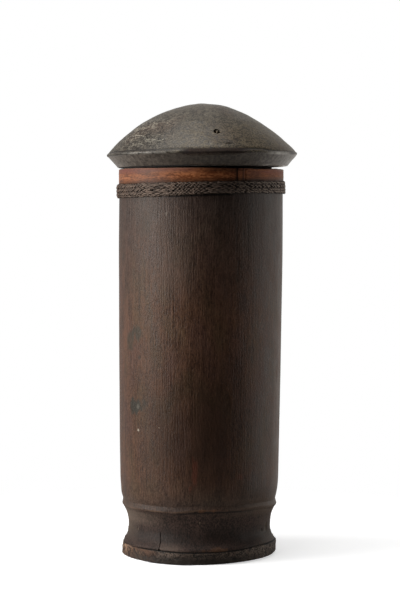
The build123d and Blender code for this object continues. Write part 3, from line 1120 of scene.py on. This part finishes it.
def lid_skin(azimuth, rings, edge, plug_edge, peg_spots):
    """Radii and heights of the worn lid, with the fields that its material reads."""
    reach, level, outer, around = spread(rings, azimuth)
    turn = around / 360
    rise = reach / 80
    east = np.sin(np.radians(around))
    above = level - edge[1]
    inside = edge[0] - reach
    flank = (above > 0.5) * ease((reach - 2) / 6)
    bevel = ((above < -1.4) & (level > 0.2)) * outer
    chipped = band(around, -14, -8, 20, 34)
    cut_depth, fields = lid_cuts(around, reach, above, inside, flank)
    # Unevenness, cuts and peg holes, all square to the lid's face
    face_slope = np.radians(38)
    hole_radius = 2.75
    hole_depth = 3.6
    lift = 0.22 * patches(turn, rise, 13, 7, 71) + 0.09 * patches(turn, rise, 34, 18, 72)
    lift += 0.05 * patches(turn, rise, 120, 40, 73) - cut_depth
    hole = 0 * reach
    for spot, radius in peg_spots:
        apart = np.hypot(np.radians(wrapped(around - spot)) * radius, (reach - radius) * 1.28)
        hole = np.maximum(hole, ease((hole_radius - apart) / 0.8))
    lift = flank * (lift - hole_depth * hole)
    radius = reach + lift * np.sin(face_slope) * ease((reach - 8) / 20)
    height = level + lift * np.cos(face_slope)
    # A chipped edge, and flats and swells that show in the outline
    at_nose = hump(above + 0.3, 1.3) * ease(1.6 - inside)
    chips = np.clip(ease(2.0 * ripple(turn, 46, 76) - 0.4) + chipped, 0, 1.3) * at_nose
    slim = hump(around - 82, 70) * hump(reach - 57, 20) * flank
    radius -= 0.3 * chips + 0.16 * bevel * patches(turn, level / 12, 30, 5, 77) + 0.7 * slim
    radius += 0.8 * bevel * hump(around - 86, 52)
    height -= 0.4 * flank * hump(reach - 23, 20) * ease(0.4 - 0.8 * east) + 0.8 * slim
    height -= 0.5 * (1 - hump(reach * east - 15, 14)) * flank * ease((49 - reach) / 8)
    height += 0.16 * at_nose * ripple(turn, 21, 78)
    height -= 0.8 * chipped * band(above, -3.4, -0.8, 0, 3.4) * outer
    # The underside round the plug, raised but for the middle of the front
    under = reach > plug_edge
    hem = (level < 0.3) * under
    height += 0.6 * hem * np.maximum(ease((3 - around) / 14), ease((around - 44) / 10))
    flaky = hump(around + 52, 42) * hump(radius - 56, 24)
    # A painted shadow on the hem, and painted light on the underside at the right
    hem_shadow = 0.3 * ease((40 - around) / 10) + 0.7 * ease((2 - around) / 10)
    fields.update(lid_edge_fields(around, above, inside, chipped))
    fields.update(hole=hole * flank, bevel=bevel, pale=hem * ease((around - 40) / 10))
    fields["hem"] = ease((0.75 - level) / 0.3) * under * hem_shadow
    fields["flaky"] = flaky * ease(0.8 + 1.6 * patches(turn, rise, 40, 22, 79))
    return radius, height, fields


def lid_peg_axes(matrix):
    """End point, direction and length of each lid peg in the lid's frame."""
    axes = []
    for group in peg_groups(into_frame(node_points("lid_pegs"), matrix)):
        offsets = group - group.mean(0)
        direction = np.linalg.eigh(offsets.T @ offsets)[1][:, 2]
        direction = direction * np.sign(direction[2])
        along = offsets @ direction
        axes.append((group.mean(0) + direction * along.max(), direction, np.ptp(along)))
    return axes


def make_lid():
    """The domed lid, with its worn edge and peg holes, its plug and its pegs."""
    matrix = lid_matrix()
    points = into_frame(node_points("lid_dome"), matrix)
    skin = node_skin("lid_dome", points)
    reach = reach_of(points)
    edge = (reach.max(), points[np.argmax(reach), 2])
    plug = into_frame(node_points("lid_plug"), matrix)
    plug_radius = reach_of(plug).max()
    axes = lid_peg_axes(matrix)
    ends = np.array([axis[0] for axis in axes])
    hole_shift = 0.75
    spots = list(zip(azimuth_of(ends), reach_of(ends) + hole_shift))
    azimuth = azimuths(1.0, [(spot, 3.4, 0.28) for spot, radius in spots] + [(-48, 26, 0.5)])
    rings = lid_rings(skin, plug_radius, edge)
    radius, height, fields = lid_skin(azimuth, rings, edge, plug_radius + 1, spots)
    piece = turned_piece("lid_cap", azimuth, radius, height, sharp_angle=40, matrix=matrix)
    set_fields(piece, fields)
    dress(piece, "lid_dome", "lid", lid_material())
    make_plug(matrix, plug, plug_radius)
    make_lid_pegs(matrix, axes)


def lid_material():
    """Grey-brown weathered wood: pale rubbed flecks and cuts, dark splits and peg holes, a satin face,
    painted light and shade along its edge.
    """
    paint = Paint("lid_wood")
    across, level = paint.axis("X"), paint.axis("Z")
    mottle = paint.noise((230, 230, 280), 4.0, 0.6)
    clouds = paint.noise((34, 34, 40), 4.0, 0.55)
    flecks = paint.noise((620, 620, 760), 3.0, 0.6)
    specks = paint.noise((1150, 1150, 1300))
    tone = weighted((mottle, 3.0), (flecks, 4.4), (specks, 4.4))
    paint.colour = tone.tint((38, 32, 26), (97, 90, 79))
    khaki = across.span(-35, -5, 0, 0.8) * level.span(348, 334, 0.1, 1)
    paint.lay(khaki, tone.tint((43, 34, 22), (105, 92, 70)))
    paint.lay(across.span(-10, -40, 0, 0.7), tone.tint((29, 25, 22), (84, 79, 72)))
    dim = across.window(-40, -30, -2, 8) * level.window(322, 328, 345, 351)
    paint.lay((dim + across.span(42, 50) * level.span(340, 334)) * 0.16, (24, 20, 17))
    paint.lay(clouds.span(0.5, 0.72, 0, 0.6), tone.tint((46, 32, 26), (96, 76, 62)))
    paint.lay(flecks.span(0.64, 0.76, 0, 0.5), (158, 152, 140))
    flaky = paint.field("flaky")
    flakes = weighted((mottle, 1.0), (flecks, 1.0))
    paint.lay(flaky * flakes.span(0.5, 0.64) * 0.7, (158, 152, 138))
    paint.lay(flaky * specks.span(0.46, 0.36) * 0.6, (34, 29, 26))
    worn = paint.field("cut") * specks.span(0.36, 0.6, 0.1, 1)
    paint.lay(worn.span(0.15, 0.8, 0, 0.5), (164, 160, 148))
    lay_lid_edge(paint, across, mottle, flecks)
    rough = mottle.span(0.3, 0.7, 0.4, 0.56) - paint.field("bevel") * 0.12
    rough = rough.maths("ADD", paint.field("chip") * 0.4, clamp=True)
    paint.relief(mottle, 0.3, 0.7)
    paint.relief(flecks, 0.3, 0.4)
    return paint.finish(Roughness=rough, Sheen_Weight=0.08, Sheen_Roughness=0.35)


def lay_lid_edge(paint, across, mottle, flecks):
    """The streaked bevel and the lid's edge: painted light at the bevel's ends, on the arris and under the
    right, painted shade along the edge, in its groove, on the chipped front and at the hem.
    """
    streaks = paint.noise((420, 420, 70), 3.0, 0.6)
    sides = weighted((streaks, 2.4), (flecks, 1.0))
    front = sides.tint((45, 38, 34), (102, 92, 84))
    # Painted light: the bevel lighter towards both ends
    ends = across.maths("ABSOLUTE").span(20, 70)
    paint.lay(paint.field("bevel") * 0.85, ends.tint(front, sides.tint((62, 54, 49), (138, 128, 119))))
    # Painted shade in a band along the edge at the left
    paint.lay_fields([("edge_shade", 0, 1, 0.5, (40, 34, 31))])
    # Painted shade in the groove along the edge
    groove_shade = paint.field("groove") * mottle.span(0.36, 0.56, 0.45, 1)
    paint.lay(groove_shade.span(0.15, 0.8, 0, 0.85), (24, 19, 18))
    paint.lay_fields([("split", 0.1, 0.8, 0.75, (22, 17, 14)), ("hole", 0.15, 0.7, 0.9, (10, 8, 7))])
    # Painted highlight along the worn arris, and a painted glint at the right
    arris_highlight = paint.field("nose") * mottle.span(0.36, 0.6, 0.35, 1)
    paint.lay(arris_highlight.span(0.2, 0.85, 0, 0.7), (160, 156, 150))
    paint.lay(paint.field("glint") * mottle.span(0.36, 0.56, 0.3, 0.8), (236, 232, 226))
    paint.lay_fields([
        # The chipped front: red inner wood, painted near black as shade
        ("chip", 0.15, 0.8, 0.85, flecks.tint((4, 1, 1), (40, 10, 9))),
        # Painted shadow on the hem
        ("hem", 0.1, 0.9, 0.95, (8, 6, 5)),
        # Painted light on the underside at the right
        ("pale", 0, 1, 0.9, (236, 230, 220)),
    ])


def make_plug(matrix, plug, plug_radius):
    """The plug under the lid, turned, with faint tool rings."""
    low, high = plug[:, 2].min(), plug[:, 2].max()
    bevel = 2.0
    rings = [(radius, low, 1) for radius in between(4, plug_radius - bevel, 2.2)]
    rings += [(plug_radius - bevel / 2, low + bevel / 2, 0), (plug_radius, low + bevel, 0)]
    rings += [(plug_radius, level, 0) for level in between(low + bevel + 1.5, high, 2.5)]
    rings += [(radius, high, 0) for radius in (40, 10)]
    azimuth = azimuths(2.0)
    reach, level, under, around = spread(rings, azimuth)
    turn = around / 360
    height = level + under * (0.12 * np.sin(reach * 1.43) + 0.1 * patches(turn, reach / 60, 19, 6, 81))
    side = (under == 0) * (level < high - 0.1)
    radius = reach - side * 0.12 * (0.5 + 0.5 * patches(turn, (height - low) / 30, 28, 8, 82))
    piece = turned_piece("lid_stopper", azimuth, radius, height, sharp_angle=40, matrix=matrix)
    dress(piece, "lid_plug", "lid", plug_material())


def plug_material():
    """Plain turned wood, paler than the lid's weathered face, with painted shade where it shows under the
    lid.
    """
    paint = Paint("plug_wood")
    grain = paint.noise((30, 420, 60), 4.0, 0.6)
    pores = paint.noise((120, 1600, 240))
    paint.colour = grain.span(0.36, 0.64).tint((66, 50, 40), (112, 90, 72))
    paint.lay(pores.span(0.6, 0.72, 0, 0.6), (44, 32, 26))
    # Painted shade in the gap under the lid
    paint.lay(paint.axis("Z").span(302, 305, 0, 0.9), (12, 9, 7))
    paint.relief(grain, 0.3, 0.5)
    return paint.finish(Roughness=0.85, Specular_IOR_Level=0.1)


def lid_peg(end, direction, length):
    """Rings of points of one lid peg: a split pin that ends in a broken wedge."""
    sides = 12
    peg_radius = 1.5
    aside = np.cross(direction, (0, 0, 1.0))
    aside = aside / np.linalg.norm(aside)
    upright = np.cross(aside, direction)
    turn = 2 * np.pi * np.arange(sides)[:, None] / sides
    form = []
    for share, step in ((0.30, 0.9), (0.45, 0.55), (0.62, -0.2), (0.85, -1.2), (1.0, -2.6), (1.0, -length)):
        broken = step > -0.5
        wedge = 0.55 if broken else 1.0
        sideways = aside * np.cos(turn) * wedge + upright * np.sin(turn)
        form.append(end + direction * step + upright * 0.35 * broken + sideways * share * peg_radius)
    return np.array(form)


def make_lid_pegs(matrix, axes):
    """The lid's pegs, which end below the dome's face."""
    points, faces = rods([lid_peg(*axis) for axis in axes])
    piece = make_piece("lid_peg_stubs", out_of_frame(points, matrix), faces, sharp_angle=40)
    material = peg_material("lid_peg_wood", (120, 100, 80), (205, 196, 178))
    dress(piece, "lid_pegs", "lid", material)


# Floor, light and background


# Linear colours: the floor as the camera sees it, the floor as it lights the object, and the lamps
FLOOR_SEEN = (0.9, 0.925, 0.97, 1.0)
FLOOR_BOUNCE = (0.46, 0.45, 0.43, 1.0)
WARM_WHITE = (1.0, 0.97, 0.92)

# Soft boxes in metres and watts: name, place, the point that it faces, width, height and power
LAMPS = [
    ("left_box", (-1.43, -0.38, 0.5), (0, 0, 0.22), 1.1, 0.9, 26.5),
    ("top_box", (-0.25, -0.18, 1.55), (0, 0, 0.3), 1.0, 1.0, 13.5),
    ("right_card", (1.5, 0.12, 0.14), (0, 0, 0.2), 1.3, 1.0, 5.5),
]


def make_floor():
    """A plain pale floor that fades into the white background."""
    drop = 0.05
    azimuth = azimuths(3.0)
    radius = np.array([40, 90, 140, 200, 300, 420])[:, None] + 0 * azimuth
    points = round_points(azimuth + 0 * radius, radius, 0 * radius - drop).reshape(-1, 3)
    points = np.vstack([points, [[0, 0, -drop]]])
    faces = ring_faces(*radius.shape) + cap_faces(0, len(azimuth), len(points) - 1)
    floor = make_piece("floor", points, faces, sharp_angle=30)
    if floor.data.polygons[0].normal.z < 0:
        floor.data.flip_normals()
    floor.data.materials.append(floor_material())


def floor_material():
    """White for the camera but for a painted contact shadow where the base's left front meets it, duller as a
    light.
    """
    paint = Paint("floor_white")
    across = paint.axis("X")
    length = add_node(paint.tree, "ShaderNodeVectorMath", {0: paint.place()}, operation="LENGTH")
    distance = Value(length, "Value")
    ray = Value(add_node(paint.tree, "ShaderNodeLightPath", {}), "Is Camera Ray")
    # Painted contact shadow round the base's left front
    clear = distance.span(61.5, 64.5)
    for share in (distance.span(58, 56), across.span(-12, 0), across.span(-36, -44)):
        clear = clear.maths("MAXIMUM", share)
    paint.colour = ray.tint(FLOOR_BOUNCE, clear.tint((40, 32, 28), FLOOR_SEEN))
    glow = {"Emission_Color": (1, 1, 1, 1), "Emission_Strength": ray * clear * 0.56}
    return paint.finish(Roughness=0.9, Specular_IOR_Level=0.0, Alpha=distance.span(160, 360, 1, 0), **glow)


def make_light(name, place, aim, width, height, power):
    """A soft box facing a point."""
    data = bpy.data.lights.new(name, "AREA")
    data.shape = "RECTANGLE"
    data.size = width
    data.size_y = height
    data.energy = power
    data.color = WARM_WHITE
    light = bpy.data.objects.new(name, data)
    light.location = place
    light.rotation_euler = (Vector(aim) - Vector(place)).to_track_quat("-Z", "Y").to_euler()
    bpy.context.scene.collection.objects.link(light)


def make_world():
    """A white background for the camera; for the light, a pale wall behind and a dark room in front."""
    world = bpy.data.worlds.new("studio")
    world.use_nodes = True
    tree = world.node_tree
    tree.nodes.clear()
    direction = Value(add_node(tree, "ShaderNodeTexCoord", {}), "Generated")
    parts = add_node(tree, "ShaderNodeSeparateXYZ", {"Vector": direction})
    wall = Value(parts, "Y").span(0, 0.8, 0.01, 0.9) * Value(parts, "X").span(-0.5, 0.1, 0.4, 1)
    wall = wall * Value(parts, "Z").span(0.15, 0.7, 1, 0.5)
    lit = Value(add_node(tree, "ShaderNodeBackground", {"Color": (*WARM_WHITE, 1), "Strength": wall}))
    seen = Value(add_node(tree, "ShaderNodeBackground", {"Color": (1, 1, 1, 1), "Strength": 1.0}))
    ray = Value(add_node(tree, "ShaderNodeLightPath", {}), "Is Camera Ray")
    mixed = Value(add_node(tree, "ShaderNodeMixShader", {0: ray, 1: lit, 2: seen}))
    add_node(tree, "ShaderNodeOutputWorld", {"Surface": mixed})
    bpy.context.scene.world = world


def make_studio():
    """Floor, background and three soft lights: a wide one at the left, one above, a dim one at the right."""
    make_floor()
    make_world()
    for lamp in LAMPS:
        make_light(*lamp)
    view = bpy.context.scene.view_settings
    view.view_transform = "Standard"
    view.look = "None"


make_camera()
seam_height = make_tube()
make_base(seam_height)
make_base_pegs()
make_hoop()
make_plait()
make_lid()
make_studio()

bpy.context.view_layer.update()
